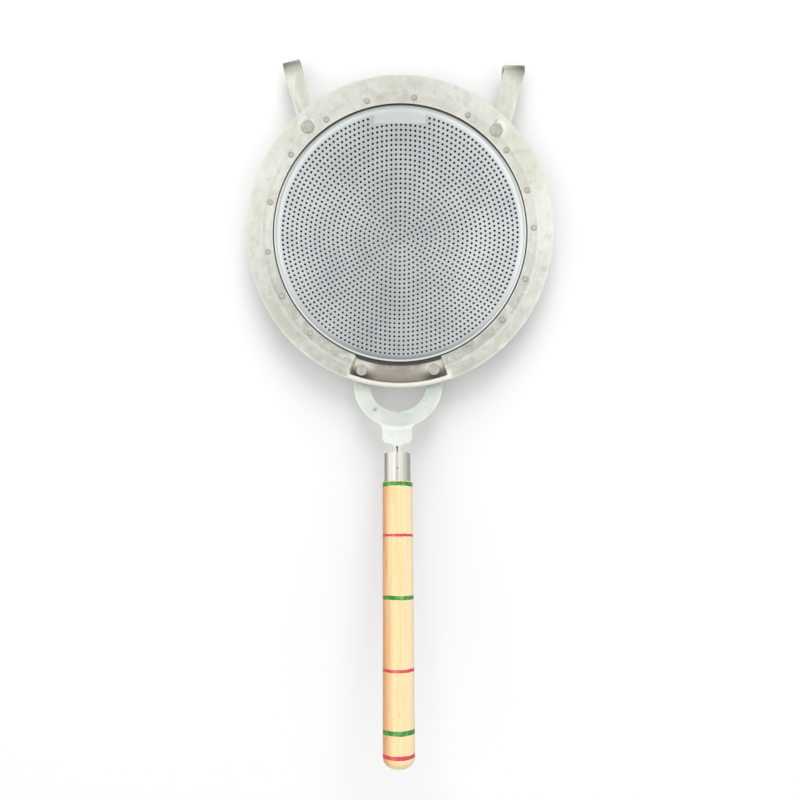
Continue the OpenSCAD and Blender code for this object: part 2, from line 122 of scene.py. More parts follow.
def new_material(name, **shader_inputs):
    """A material with its shader, and a point's place on the object."""
    material = bpy.data.materials.new(name)
    material.use_nodes = True
    tree = material.node_tree
    tree.nodes.clear()
    shader = add(tree, "ShaderNodeBsdfPrincipled", **shader_inputs)
    add(tree, "ShaderNodeOutputMaterial", Surface=shader.outputs["BSDF"])
    place = add(tree, "ShaderNodeTexCoord").outputs["Object"]
    return material, tree, shader, place


def cloud(tree, place, size_mm, detail=4.0, roughness=0.55, stretch=(1, 1, 1)):
    """A cloudy pattern with patches about size_mm across."""
    mapped = add(tree, "ShaderNodeMapping", Vector=place, Scale=stretch).outputs["Vector"]
    return add(tree, "ShaderNodeTexNoise", Vector=mapped, Scale=1 / (size_mm * MM),
               Detail=detail, Roughness=roughness).outputs["Fac"]


def ramp(tree, value, *stops):
    """A ramp whose stops are a place and a colour or a grey."""
    node = add(tree, "ShaderNodeValToRGB", Fac=value)
    tones = [(at, linear(tone) if isinstance(tone, str) else (tone, tone, tone, 1)) for at, tone in stops]
    elements = node.color_ramp.elements
    elements[0].position, elements[0].color = tones[0]
    elements[1].position, elements[1].color = tones[-1]
    for at, tone in tones[1:-1]:
        elements.new(at).color = tone
    return node.outputs["Color"]


def mix(tree, factor, low, high, mode="MIX"):
    """Two colours mixed by a factor."""
    return add(tree, "ShaderNodeMix", {"data_type": "RGBA", "blend_type": mode},
               _0=factor, _6=low, _7=high).outputs[2]


def calculate(tree, operation, first, second=0.0, third=0.0):
    """A sum, product or other operation on numbers."""
    return add(tree, "ShaderNodeMath", {"operation": operation}, _0=first, _1=second, _2=third).outputs[0]


def bump(tree, height, rise_mm):
    """A bump that rises as far as rise_mm."""
    return add(tree, "ShaderNodeBump", Height=height, Distance=rise_mm * MM).outputs["Normal"]


def in_frame(tree, place, matrix):
    """A point's place in a turned frame."""
    return add(tree, "ShaderNodeMapping", {"vector_type": "TEXTURE"}, Vector=place,
               Location=matrix.to_translation(), Rotation=matrix.to_euler()).outputs["Vector"]


def distance_to(tree, place, points):
    """Distance to the nearest of some points."""
    nearest = None
    for point in points:
        here = add(tree, "ShaderNodeVectorMath", {"operation": "DISTANCE"}, _0=place, _1=point).outputs["Value"]
        nearest = here if nearest is None else calculate(tree, "MINIMUM", nearest, here)
    return nearest


def radius_from_axis(tree, place):
    """Distance from the pan's axis."""
    flat = add(tree, "ShaderNodeVectorMath", {"operation": "MULTIPLY"}, _0=place, _1=(1, 1, 0)).outputs["Vector"]
    return add(tree, "ShaderNodeVectorMath", {"operation": "LENGTH"}, _0=flat).outputs["Value"]


def spread(tree, value, low_mm, high_mm, *stops):
    """A ramp over the lengths from low_mm to high_mm."""
    scaled = add(tree, "ShaderNodeMapRange", _0=value, _1=low_mm * MM, _2=high_mm * MM).outputs[0]
    return ramp(tree, scaled, *stops)


def wire(tree, shader, colour=None, roughness=None, normal=None):
    """Links a material's patterns to its shader."""
    for name, socket in (("Base Color", colour), ("Roughness", roughness), ("Normal", normal)):
        if socket is not None:
            tree.links.new(socket, shader.inputs[name])


def tinned_rim():
    """Pressed tin plate: warm and pale, darker in grey-green patches towards the handle, with a painted highlight
    along the step, painted shade round the rivets, brown grime with painted shade and a painted highlight in the
    pocket, and dents.
    """
    material, tree, shader, place = new_material("tinned_rim")
    parts = add(tree, "ShaderNodeSeparateXYZ", Vector=place)
    base = ramp(tree, cloud(tree, place, 38, 3), (0.3, "#E6E6D9"), (0.55, "#F3F2E8"), (0.75, "#FAFAF4"))
    # The side towards the handle is darker, in grey-green patches
    handle_side_darkening = spread(tree, parts.outputs["Y"], -120, 10, (0.0, 1.0), (0.55, 0.7), (1.0, 0.0))
    patches = ramp(tree, cloud(tree, place, 10, 6, 0.65), (0.36, 0.1), (0.5, 0.6), (0.64, 0.95))
    beside = calculate(tree, "ABSOLUTE", parts.outputs["X"])
    lip = calculate(tree, "MULTIPLY", spread(tree, beside, 44, 47, (0.0, 0.8), (1.0, 0.0)),
                    spread(tree, parts.outputs["Y"], -117, -111, (0.0, 1.0), (1.0, 0.0)))
    lip = calculate(tree, "MULTIPLY", lip, spread(tree, parts.outputs["Z"], 21.2, 22.6, (0.0, 0.0), (1.0, 1.0)))
    # The raised border outside the step is smoother, and the step itself gets a painted highlight
    reach = radius_from_axis(tree, place)
    smoother = spread(tree, reach, 119.5, 123.0, (0.0, 1.0), (1.0, 0.55))
    step = spread(tree, reach, 118.6, 122.6, (0.0, 0.0), (0.4, 0.55), (0.6, 0.55), (1.0, 0.0))
    step = calculate(tree, "MULTIPLY", step, handle_side_darkening)
    handle_side_darkening = calculate(tree, "MULTIPLY", calculate(tree, "MULTIPLY", handle_side_darkening, patches), smoother)
    handle_side_darkening = calculate(tree, "MAXIMUM", calculate(tree, "SUBTRACT", handle_side_darkening, lip), 0.0)
    base = mix(tree, handle_side_darkening, base, linear("#B2B6AB"))
    base = mix(tree, step, base, linear("#FAFAF4"))
    wear = ramp(tree, cloud(tree, place, 9, 7, 0.65), (0.5, 0.0), (0.7, 0.5))
    worn = mix(tree, wear, base, linear("#C8CABC"))
    spots = ramp(tree, cloud(tree, place, 2.2, 3), (0.66, 0.0), (0.76, 0.45))
    spotted = mix(tree, spots, worn, linear("#A2A396"))
    # Scratches that run round the rim
    swirl = add(tree, "ShaderNodeTexNoise", Vector=place, Scale=320.0, Detail=5.0, Distortion=2.2).outputs["Fac"]
    scratched = mix(tree, ramp(tree, swirl, (0.6, 0.0), (0.72, 0.35)), spotted, linear("#C3C3B6"))
    small = [(SMALL_RIVET_R * math.cos(math.radians(a)), SMALL_RIVET_R * math.sin(math.radians(a)), BAND_TOP)
             for a in SMALL_RIVETS]
    large = [(x, y, BAND_TOP) for x, y in HOOK_RIVETS] + [(x, y, FLOOR_TOP) for x, y in BRACKET_RIVETS]
    # Painted shade: a dark ring round the foot of each small rivet, and a lighter one round the large rivets
    rivet_ring_shade = spread(tree, distance_to(tree, place, small), 1.9, 3.0, (0.0, 0.7), (0.3, 0.6), (1.0, 0.0))
    ringed = mix(tree, rivet_ring_shade, scratched, linear("#7E7E72"))
    rivet_ring_shade = spread(tree, distance_to(tree, place, large), 4.9, 6.6, (0.0, 0.6), (0.25, 0.4), (1.0, 0.0))
    ringed = mix(tree, rivet_ring_shade, ringed, linear("#8F8E82"))
    # The bare outer edge and the folded lip are bright
    edge = spread(tree, reach, 130.4, 131.6, (0.0, 0.0), (1.0, 1.0))
    edge = calculate(tree, "MAXIMUM", calculate(tree, "MULTIPLY", edge, 0.3), lip)
    colour = mix(tree, edge, ringed, linear("#E9E7DC"))
    metal = calculate(tree, "MULTIPLY_ADD", edge, -0.7, 0.82)
    tree.links.new(metal, shader.inputs["Metallic"])
    # Brown grime on the pocket's floor, with painted shade that deepens towards its wall
    sunk = spread(tree, parts.outputs["Z"], 16.7, 19.6, (0.0, 1.0), (0.3, 0.8), (1.0, 0.0))
    wall = spread(tree, reach, 113, 128, (0.0, 0.35), (0.45, 0.75), (1.0, 1.0))
    colour = mix(tree, calculate(tree, "MULTIPLY", sunk, wall), colour, linear("#A69C90"))
    # Round its rivets the pocket has a painted highlight on the dish's side and the lip's painted shadow along the
    # lip
    round_rivets = spread(tree, distance_to(tree, place, large[-2:]), 7, 15, (0.0, 1.0), (1.0, 0.0))
    round_rivets = calculate(tree, "MULTIPLY", sunk, round_rivets)
    painted_highlight = spread(tree, reach, 117.5, 121.5, (0.0, 0.85), (1.0, 0.0))
    colour = mix(tree, calculate(tree, "MULTIPLY", round_rivets, painted_highlight), colour, linear("#F6F4EA"))
    lip_shadow = spread(tree, reach, 121.0, 125.5, (0.0, 0.0), (1.0, 0.85))
    colour = mix(tree, calculate(tree, "MULTIPLY", round_rivets, lip_shadow), colour, linear("#4E493C"))
    rough = ramp(tree, cloud(tree, place, 6, 6), (0.3, 0.26), (0.7, 0.44))
    dents = add(tree, "ShaderNodeBump", Height=cloud(tree, place, 16, 3), Distance=0.4 * MM).outputs["Normal"]
    fine = add(tree, "ShaderNodeBump", Height=cloud(tree, place, 3, 6), Distance=0.06 * MM,
               Normal=dents).outputs["Normal"]
    wire(tree, shader, colour, rough, fine)
    return material


def dish_steel():
    """Pressed steel sheet of the dish: cool grey and satin, with a painted reflection on its border, dark at the
    handle's side, bright beyond, a paler blank plaque at the front, a painted highlight on its wall and painted shade
    in the groove round its crest."""
    material, tree, shader, place = new_material("dish_steel", Metallic=0.85)
    base = ramp(tree, cloud(tree, place, 45, 4), (0.3, "#C8CDCE"), (0.7, "#DEE2E2"))
    parts = add(tree, "ShaderNodeSeparateXYZ", Vector=place)
    beside = calculate(tree, "ABSOLUTE", parts.outputs["X"])
    plaque = calculate(tree, "MULTIPLY", spread(tree, beside, 21.5, 22.5, (0.0, 1.0), (1.0, 0.0)),
                       spread(tree, parts.outputs["Y"], 95.5, 96.5, (0.0, 0.0), (1.0, 1.0)))
    base = mix(tree, calculate(tree, "MULTIPLY", plaque, 0.6), base, linear("#F0F2F2"))
    reach = radius_from_axis(tree, place)
    # Painted reflection: the border outside the holes is dark at the handle's side and bright towards the hooks
    border = spread(tree, reach, 103.5, 106.0, (0.0, 0.0), (1.0, 0.8))
    front = spread(tree, parts.outputs["Y"], -100, -20, (0.0, 0.0), (1.0, 1.0))
    border_reflection = mix(tree, border, base, mix(tree, front, linear("#A4ABAC"), linear("#F3F8F9")))
    # Painted highlight on the wall and its crest, and painted shade on them at the hooks' side
    crest = spread(tree, reach, 107.3, 107.9, (0.0, 0.0), (1.0, 0.9))
    wall_shade = calculate(tree, "MULTIPLY", spread(tree, reach, 108.0, 108.5, (0.0, 0.0), (1.0, 1.0)),
                     spread(tree, parts.outputs["Y"], 30, 85, (0.0, 0.0), (1.0, 0.9)))
    border_reflection = mix(tree, crest, border_reflection, linear("#E2E5E1"))
    border_reflection = mix(tree, wall_shade, border_reflection, linear("#4A4B45"))
    tree.links.new(calculate(tree, "MULTIPLY_ADD", crest, -0.6, 0.85), shader.inputs["Metallic"])
    # Painted shade in the groove between the crest and the rim's inner edge
    groove = spread(tree, reach, 109.1, 112.0, (0.0, 0.0), (0.12, 0.95), (0.9, 0.95), (1.0, 0.5))
    colour = mix(tree, groove, border_reflection, linear("#2B2B28"))
    rough = ramp(tree, cloud(tree, place, 4, 5), (0.3, 0.28), (0.7, 0.4))
    wire(tree, shader, colour, rough, bump(tree, cloud(tree, place, 3, 4), 0.03))
    return material


def shaded_dull_steel():
    """Dull steel with no polish inside the drain holes and under the dish, painted dark as shade."""
    material, tree, shader, place = new_material("shaded_dull_steel", Metallic=0.5)
    colour = ramp(tree, cloud(tree, place, 12, 6), (0.3, "#55585A"), (0.7, "#7B7F80"))
    rough = ramp(tree, cloud(tree, place, 4, 5), (0.3, 0.5), (0.7, 0.65))
    wire(tree, shader, colour, rough, bump(tree, cloud(tree, place, 3, 4), 0.04))
    return material


def strip_steel():
    """Cut steel strip of the hooks: pale, slightly yellow, with marks along its length."""
    material, tree, shader, place = new_material("strip_steel", Metallic=0.75)
    colour = ramp(tree, cloud(tree, place, 8, 6, 0.6, (2, 0.6, 1)), (0.3, "#E0E0D2"), (0.7, "#F4F4E8"))
    marks = ramp(tree, cloud(tree, place, 3, 6, 0.65), (0.6, 0.0), (0.75, 0.5))
    colour = mix(tree, marks, colour, linear("#A3A398"))
    # Painted shade darkens the bent ends
    bend_shade = spread(tree, radius_from_axis(tree, place), 161, 174, (0.0, 0.0), (0.55, 0.45), (1.0, 0.9))
    colour = mix(tree, bend_shade, colour, linear("#6B6B66"))
    rough = ramp(tree, cloud(tree, place, 5, 5), (0.3, 0.36), (0.7, 0.5))
    wire(tree, shader, colour, rough, bump(tree, cloud(tree, place, 4, 5), 0.08))
    return material


def fork_steel():
    """Stamped steel of the fork bracket: pale with a faint green tone, dull and softly marked."""
    material, tree, shader, place = new_material("fork_steel", Metallic=0.55)
    base = ramp(tree, cloud(tree, place, 16, 4), (0.3, "#D3DBD4"), (0.55, "#E1E8E1"), (0.75, "#EAECE0"))
    marks = ramp(tree, cloud(tree, place, 2.5, 5), (0.62, 0.0), (0.78, 0.55))
    colour = mix(tree, marks, base, linear("#A9ADA4"))
    stain = PLATE @ Vector(FORK_STAIN)
    spot = spread(tree, distance_to(tree, place, [stain]), 0.5, 2.6, (0.0, 0.7), (0.3, 0.4), (1.0, 0.0))
    colour = mix(tree, spot, colour, linear("#74766C"))
    # A painted highlight lightens the outer edge and the plate's sides
    from_middle = distance_to(tree, in_frame(tree, place, PLATE), [(0, -2.5 * MM, 0)])
    painted_highlight = spread(tree, from_middle, 37.9, 42.0, (0.0, 0.0), (0.27, 0.5), (0.8, 0.5), (1.0, 0.35))
    colour = mix(tree, painted_highlight, colour, linear("#FAFBF7"))
    tree.links.new(calculate(tree, "MULTIPLY_ADD", painted_highlight, -0.45, 0.55), shader.inputs["Metallic"])
    rough = ramp(tree, cloud(tree, place, 5, 5), (0.3, 0.4), (0.7, 0.52))
    wire(tree, shader, colour, rough, bump(tree, cloud(tree, place, 6, 5), 0.1))
    return material


def rivet_steel(name, low, high):
    """Hammered rivet heads: duller than the sheet round them, with small marks."""
    material, tree, shader, place = new_material(name, Metallic=0.6)
    colour = ramp(tree, cloud(tree, place, 2.5, 5), (0.3, low), (0.7, high))
    wire(tree, shader, colour, ramp(tree, cloud(tree, place, 2, 4), (0.3, 0.38), (0.7, 0.52)),
         bump(tree, cloud(tree, place, 1.5, 4), 0.06))
    return material


def ferrule_tube():
    """Drawn tube of the ferrule: bright with polish, with dull streaks and fine lines along it, and painted shade at
    its sides.
    """
    material, tree, shader, place = new_material("ferrule_tube", Metallic=0.85)
    turned = in_frame(tree, place, HANDLE)
    colour = ramp(tree, cloud(tree, turned, 3, 6, 0.6, (1.6, 1.6, 0.1)), (0.3, "#E6E5D8"), (0.7, "#FDFCF4"))
    rust = ramp(tree, cloud(tree, turned, 3, 6, 0.65), (0.62, 0.0), (0.74, 0.5))
    colour = mix(tree, rust, colour, linear("#8E8B7A"))
    # Painted shade at the two sides and in one faint line along the top, standing in for the tube's dark reflections
    side = add(tree, "ShaderNodeSeparateXYZ", Vector=turned).outputs["X"]
    ferrule_side_shade = spread(tree, side, -11.3, 11.3, (0.0, 0.85), (0.1, 0.65), (0.2, 0.0), (0.42, 0.0), (0.47, 0.25),
                     (0.53, 0.0), (0.74, 0.1), (0.86, 0.55), (1.0, 0.75))
    colour = mix(tree, ferrule_side_shade, colour, linear("#4B4B43"))
    rough = ramp(tree, cloud(tree, turned, 2, 6, 0.6, (2, 2, 0.2)), (0.3, 0.22), (0.7, 0.36))
    wire(tree, shader, colour, rough, bump(tree, cloud(tree, turned, 1.5, 4, 0.5, (2, 2, 0.15)), 0.03))
    return material


def painted_wood():
    """Pale varnished wood with a fine grain along it, a peach-brown side, and bands of green and red paint."""
    material, tree, shader, place = new_material("painted_wood", IOR=1.5)
    settings = bpy.context.scene.ladle
    turned = in_frame(tree, place, HANDLE)
    parts = add(tree, "ShaderNodeSeparateXYZ", Vector=turned)
    side, distance = parts.outputs["X"], parts.outputs["Z"]
    grain = cloud(tree, turned, 2.4, 6, 0.6, (1, 1, 0.035))
    fine = cloud(tree, turned, 0.8, 4, 0.6, (1, 1, 0.06))
    wander = calculate(tree, "MULTIPLY_ADD", cloud(tree, turned, 22, 3, 0.5, (0.4, 0.4, 0.2)), 0.008, -0.004)
    left = spread(tree, calculate(tree, "ADD", side, wander), -13, -4, (0.1, 0.95), (0.75, 0.1), (1.0, 0.0))
    pale = ramp(tree, grain, (0.3, "#ECCB95"), (0.55, "#F2D5A3"), (0.75, "#F8E0B4"))
    tan = ramp(tree, grain, (0.3, "#D58D57"), (0.7, "#E5A76E"))
    wood = mix(tree, left, pale, tan)
    # Painted light: the right side is lighter
    right = spread(tree, side, 3, 11, (0.0, 0.0), (1.0, 0.65))
    wood = mix(tree, right, wood, linear("#FFEBC4"))
    streaks = ramp(tree, fine, (0.58, 0.0), (0.76, 0.55))
    colour = mix(tree, streaks, wood, linear("#C8975F"))
    # Long dark pores that show on the brown side
    pores = ramp(tree, cloud(tree, turned, 1.7, 5, 0.65, (1, 1, 0.035)), (0.57, 0.0), (0.66, 0.85))
    colour = mix(tree, calculate(tree, "MULTIPLY", pores, left), colour, linear("#8C5C36"))
    flecks = ramp(tree, cloud(tree, turned, 2.2, 4, 0.6, (1, 1, 0.45)), (0.66, 0.0), (0.74, 0.6))
    low_end = spread(tree, distance, 150, 200, (0.0, 0.25), (1.0, 0.9))
    colour = mix(tree, calculate(tree, "MULTIPLY", flecks, low_end), colour, linear("#A86A44"))
    worn = distance_to(tree, turned, [(-6 * MM, -12 * MM, 82 * MM), (2 * MM, -12 * MM, 82.5 * MM)])
    mark = spread(tree, worn, 1, 6, (0.0, 0.4), (1.0, 0.0))
    colour = mix(tree, mark, colour, linear("#D77F62"))
    wobble = calculate(tree, "MULTIPLY_ADD", cloud(tree, turned, 7, 3), 0.0016, -0.0008)
    wavy = calculate(tree, "ADD", distance, wobble)
    patches = cloud(tree, turned, 5, 5, 0.65, (1, 1, 0.4))
    # Painted shade: the paint darkens towards the handle's two sides
    paint_side_shade = spread(tree, calculate(tree, "ABSOLUTE", side), 5, 11.5, (0.0, 0.0), (1.0, 0.9))
    green = ramp(tree, patches, (0.42, settings_hex(settings.green_dark)), (0.62, settings_hex(settings.green)))
    green = mix(tree, paint_side_shade, green, linear(settings_hex(settings.green_dark)))
    red = ramp(tree, patches, (0.42, settings_hex(settings.red_dark)), (0.62, settings_hex(settings.red)))
    red = mix(tree, paint_side_shade, red, linear(settings_hex(settings.red_dark)))
    paints = {"green": green, "red": red}
    for at, width, paint in BANDS:
        inside = calculate(tree, "COMPARE", wavy, at * MM, width * MM / 2)
        colour = mix(tree, inside, colour, paints[paint])
    rough = ramp(tree, grain, (0.3, 0.38), (0.7, 0.5))
    wire(tree, shader, colour, rough, bump(tree, fine, 0.05))
    return material


# Meshes


def mesh_object(name, points, edges, faces):
    """A new object at the origin from points in the row frame."""
    mesh = bpy.data.meshes.new(name)
    mesh.from_pydata(points, edges, faces)
    mesh.validate()
    piece = bpy.data.objects.new(name, mesh)
    bpy.context.scene.collection.objects.link(piece)
    return piece


def deselect_all():
    bpy.ops.object.select_all(action="DESELECT")


def make_active(piece):
    """Selects one piece alone."""
    deselect_all()
    piece.select_set(True)
    bpy.context.view_layer.objects.active = piece


def dress(node, material):
    """Gives a CAD node its material."""
    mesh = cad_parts[node].data
    mesh.materials.clear()
    mesh.materials.append(material)


def spun(name, profile, steps, closed=False):
    """A turned piece: its profile, as radius and height in millimetres, spun round the Z axis."""
    edges = [(k, k + 1) for k in range(len(profile) - 1)]
    if closed:
        edges.append((len(profile) - 1, 0))
    piece = mesh_object(name, [(r * MM, 0, z * MM) for r, z in profile], edges, [])
    make_active(piece)
    bpy.ops.object.mode_set(mode="EDIT")
    bpy.ops.mesh.select_all(action="SELECT")
    bpy.ops.mesh.spin(steps=steps, angle=2 * math.pi, center=(0, 0, 0), axis=(0, 0, 1))
    bpy.ops.mesh.select_all(action="SELECT")
    bpy.ops.mesh.remove_doubles(threshold=0.001 * MM)
    bpy.ops.mesh.normals_make_consistent(inside=False)
    bpy.ops.object.mode_set(mode="OBJECT")
    return piece


def copies(first, name, matrices):
    """Copies of a piece, each with its own mesh moved to its place, joined to one group of separate solids."""
    made = []
    for matrix in matrices:
        mesh = first.data.copy()
        mesh.transform(matrix)
        copy = bpy.data.objects.new(name, mesh)
        bpy.context.scene.collection.objects.link(copy)
        made.append(copy)
    bpy.data.objects.remove(first)
    make_active(made[0])
    for copy in made:
        copy.select_set(True)
    bpy.ops.object.join()
    made[0].name = name
    return made[0]


def eased_copy(node, name, width_mm):
    """A copy of a CAD node with its sharp edges eased by a small bevel."""
    piece = bpy.data.objects.new(name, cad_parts[node].data.copy())
    bpy.context.scene.collection.objects.link(piece)
    make_active(piece)
    bpy.ops.object.mode_set(mode="EDIT")
    bpy.ops.mesh.select_all(action="SELECT")
    bpy.ops.mesh.remove_doubles(threshold=0.001 * MM)
    bpy.ops.mesh.dissolve_limited(angle_limit=math.radians(0.5))
    bpy.ops.mesh.normals_make_consistent(inside=False)
    bpy.ops.object.mode_set(mode="OBJECT")
    eased = piece.modifiers.new("eased edges", "BEVEL")
    eased.width = width_mm * MM
    eased.segments = 2
    eased.limit_method = "ANGLE"
    eased.angle_limit = math.radians(35)
    bpy.ops.object.modifier_apply(modifier=eased.name)
    bpy.ops.object.shade_smooth_by_angle(angle=math.radians(35))
    return piece


def finish_piece(piece, material, slot, *nodes):
    """A new piece's material, its body and the nodes that it stands for; the slot is not read."""
    piece.data.materials.clear()
    piece.data.materials.append(material)
    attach(piece, "root")
    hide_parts(*nodes)


# The dish

DISH_R = 370 * MM
BALL_Z = 370.8 * MM
WALL_R = 107.8 * MM
DISH_EDGE_Z = BALL_Z - math.sqrt(DISH_R ** 2 - WALL_R ** 2)
CREST_BEND = 0.9 * MM
CREST_R = WALL_R + CREST_BEND
CREST_Z = DISH_EDGE_Z + 2.4 * MM
FLANGE_R = 125.6 * MM
RING_SIDES = 256
HOLE_SIDES = 12


def hole_places(settings):
    """The fall and turn of each drain hole: ring n holds 6n holes, and some are left out for the blank plate."""
    places = [(0.0, 0.0)]
    pitch = settings.hole_pitch / DISH_R
    for ring in range(1, settings.hole_rings + 1):
        for i in range(6 * ring):
            turn = math.radians(60 * i / ring + settings.hole_turn)
            side = DISH_R * math.sin(pitch * ring) * math.sin(turn)
            blank = ring > settings.hole_rings - 2 and math.cos(turn) > 0 and abs(side) < settings.plate_width / 2
            if not blank:
                places.append((pitch * ring, turn))
    return places


def ring_on_ball(fall, turn, radius, ball_r):
    """Points of a small circle on a ball round the dish's centre, for a hole at that fall and turn."""
    down = Matrix.Rotation(turn, 3, "Z") @ Matrix.Rotation(fall, 3, "X")
    reach = radius / ball_r
    points = []
    for k in range(HOLE_SIDES):
        a = 2 * math.pi * (k + 0.5) / HOLE_SIDES
        local = Vector((math.sin(reach) * math.cos(a), math.sin(reach) * math.sin(a), -math.cos(reach)))
        p = down @ local * ball_r
        points.append(Vector((p.x, p.y, p.z + BALL_Z)))
    return points


def sheet_round_holes(loops, border):
    """Triangles between hole loops and a round border, by the points' numbers in one list."""
    points = [p for loop in loops for p in loop] + border
    inside = len(points) - len(border)
    edges = []
    for n in range(len(loops)):
        first = n * HOLE_SIDES
        edges += [(first + k, first + (k + 1) % HOLE_SIDES) for k in range(HOLE_SIDES)]
    edges += [(inside + k, inside + (k + 1) % len(border)) for k in range(len(border))]
    flat = [Vector((p.x, p.y)) for p in points]
    out = delaunay_2d_cdt(flat, edges, [], 0, 1e-9)
    sources = [original[0] for original in out[3]]
    triangles = []
    for face in out[2]:
        corners = [sources[v] for v in face]
        holes = {c // HOLE_SIDES for c in corners}
        if len(holes) == 1 and corners[0] < inside:
            continue
        triangles.append(corners)
    return points, triangles


def ring_points(radius, z):
    return [Vector((radius * math.cos(2 * math.pi * k / RING_SIDES),
                    radius * math.sin(2 * math.pi * k / RING_SIDES), z)) for k in range(RING_SIDES)]


def border_section():
    """The disc's section outside the holes, as upper and lower points from the dish to the flange."""
    upper, lower = [], []
    for r in (104.6, 105.6, 106.4, 107.0):
        fall = math.asin(r * MM / DISH_R)
        upper.append((r * MM, BALL_Z - DISH_R * math.cos(fall)))
        lower.append((r * MM + SHEET * math.sin(fall), BALL_Z - (DISH_R + SHEET) * math.cos(fall)))
    # The wall's foot is a soft curve
    upper += [(WALL_R - 0.35 * MM, DISH_EDGE_Z + 0.12 * MM), (WALL_R - 0.1 * MM, DISH_EDGE_Z + 0.5 * MM)]
    lower += [(WALL_R + 0.5 * MM, DISH_EDGE_Z - 0.65 * MM), (WALL_R + SHEET, DISH_EDGE_Z - 0.3 * MM)]
    inner_bend = CREST_BEND - SHEET
    for step in range(0, 9):
        a = math.pi - math.pi * step / 8
        upper.append((CREST_R + CREST_BEND * math.cos(a), CREST_Z + CREST_BEND * math.sin(a)))
        lower.append((CREST_R + inner_bend * math.cos(a), CREST_Z + inner_bend * math.sin(a)))
    upper.append((CREST_R + CREST_BEND, CREST_Z + 0.01 * MM))
    lower.append((CREST_R + inner_bend, CREST_Z - SHEET))
    upper.append((FLANGE_R, CREST_Z))
    lower.append((FLANGE_R, CREST_Z - SHEET))
    return upper, lower


class LADLE_OT_dish(bpy.types.Operator):
    """Presses the dish, with every drain hole, its wall, its crest and the flange under the rim"""

    bl_idname = "ladle.dish"
    bl_label = "Dish"

    def execute(self, context):
        settings = context.scene.ladle
        places = hole_places(settings)
        radius = settings.hole_diameter / 2
        upper, lower = border_section()
        bottom_r = DISH_R + SHEET
        rims = [ring_on_ball(f, t, radius + 0.26 * MM, DISH_R) for f, t in places]
        throats = [ring_on_ball(f, t, radius, DISH_R + 0.16 * MM) for f, t in places]
        mouths = [ring_on_ball(f, t, radius, bottom_r) for f, t in places]
        top_points, top_faces = sheet_round_holes(rims, ring_points(*upper[0]))
        low_points, low_faces = sheet_round_holes(mouths, ring_points(*lower[0]))
        points = list(top_points)
        faces = [tuple(f) for f in top_faces]
        bores = []
        throat_at = len(points)
        points += [p for loop in throats for p in loop]
        low_at = len(points)
        points += low_points
        bores += [tuple(low_at + v for v in reversed(f)) for f in low_faces]
        for n in range(len(places)):
            for k in range(HOLE_SIDES):
                a, b = n * HOLE_SIDES + k, n * HOLE_SIDES + (k + 1) % HOLE_SIDES
                faces.append((a, b, throat_at + b, throat_at + a))
                bores.append((throat_at + a, throat_at + b, low_at + b, low_at + a))
        # The border, wall, crest and flange, ring by ring
        top_ring = len(places) * HOLE_SIDES
        low_ring = low_at + top_ring
        for section, first, flip in ((upper, top_ring, False), (lower, low_ring, True)):
            previous = first
            for r, z in section[1:]:
                here = len(points)
                points += ring_points(r, z)
                for k in range(RING_SIDES):
                    b = (k + 1) % RING_SIDES
                    quad = (previous + k, here + k, here + b, previous + b)
                    faces.append(tuple(reversed(quad)) if flip else quad)
                previous = here
            if flip:
                low_edge = previous
            else:
                top_edge = previous
        for k in range(RING_SIDES):
            b = (k + 1) % RING_SIDES
            faces.append((top_edge + k, low_edge + k, low_edge + b, top_edge + b))
        dish = mesh_object("dish", points, [], faces + bores)
        for polygon in dish.data.polygons[len(faces):]:
            polygon.material_index = 1
        self.open_flange(dish, settings)
        make_active(dish)
        bpy.ops.object.mode_set(mode="EDIT")
        bpy.ops.mesh.select_all(action="SELECT")
        bpy.ops.mesh.normals_make_consistent(inside=False)
        bpy.ops.object.mode_set(mode="OBJECT")
        bpy.ops.object.shade_smooth_by_angle(angle=math.radians(28))
        finish_piece(dish, dish_steel(), "disc_steel", "strainer_disc")
        dish.data.materials.append(shaded_dull_steel())
        return {"FINISHED"}

    def open_flange(self, dish, settings):
        """Cuts the flange away over the rim's pocket and closes the cut."""
        half = settings.pocket_angle / 2 + 1.5
        work = bmesh.new()
        work.from_mesh(dish.data)
        keep_r = CREST_R + CREST_BEND + 0.1 * MM
        doomed = []
        for face in work.faces:
            centre = face.calc_center_median()
            if centre.xy.length > keep_r and abs(from_pocket(centre.x, centre.y)) < half:
                doomed.append(face)
        bmesh.ops.delete(work, geom=doomed, context="FACES")
        open_edges = [e for e in work.edges if e.is_boundary]
        bmesh.ops.holes_fill(work, edges=open_edges, sides=0)
        work.to_mesh(dish.data)
        work.free()


# The rim's section in millimetres, from the top of its inner edge outwards and back along its underside: each
# point's radius and height in the plain part, and then in the pocket
RIM_TOP = (
    ((110.4, 19.5), (113.1, 15.8)),
    ((110.4, 20.06), (113.1, 16.36)),
    ((110.6, 20.252), (113.3, 16.552)),
    ((112.6, 20.252), (115.0, 16.552)),
    ((116.0, 20.252), (118.5, 16.552)),
    ((117.8, 20.27), (121.5, 16.552)),
    ((119.0, 20.42), (124.0, 16.552)),
    ((120.2, 20.75), (125.8, 16.552)),
    ((121.4, 21.0), (127.0, 16.6)),
    ((122.8, 21.28), (127.7, 16.9)),
    ((124.8, 21.76), (127.95, 17.6)),
    ((127.0, 22.28), (128.0, 19.5)),
    ((129.0, 22.76), (128.0, 21.6)),
    ((130.6, 23.15), (128.3, 23.2)),
    ((131.6, 23.45), (129.2, 24.25)),
    ((132.1, 23.6), (130.4, 24.5)),
    ((132.35, 23.5), (131.7, 23.9)),
    ((132.39, 23.2), (132.39, 22.4)),
)
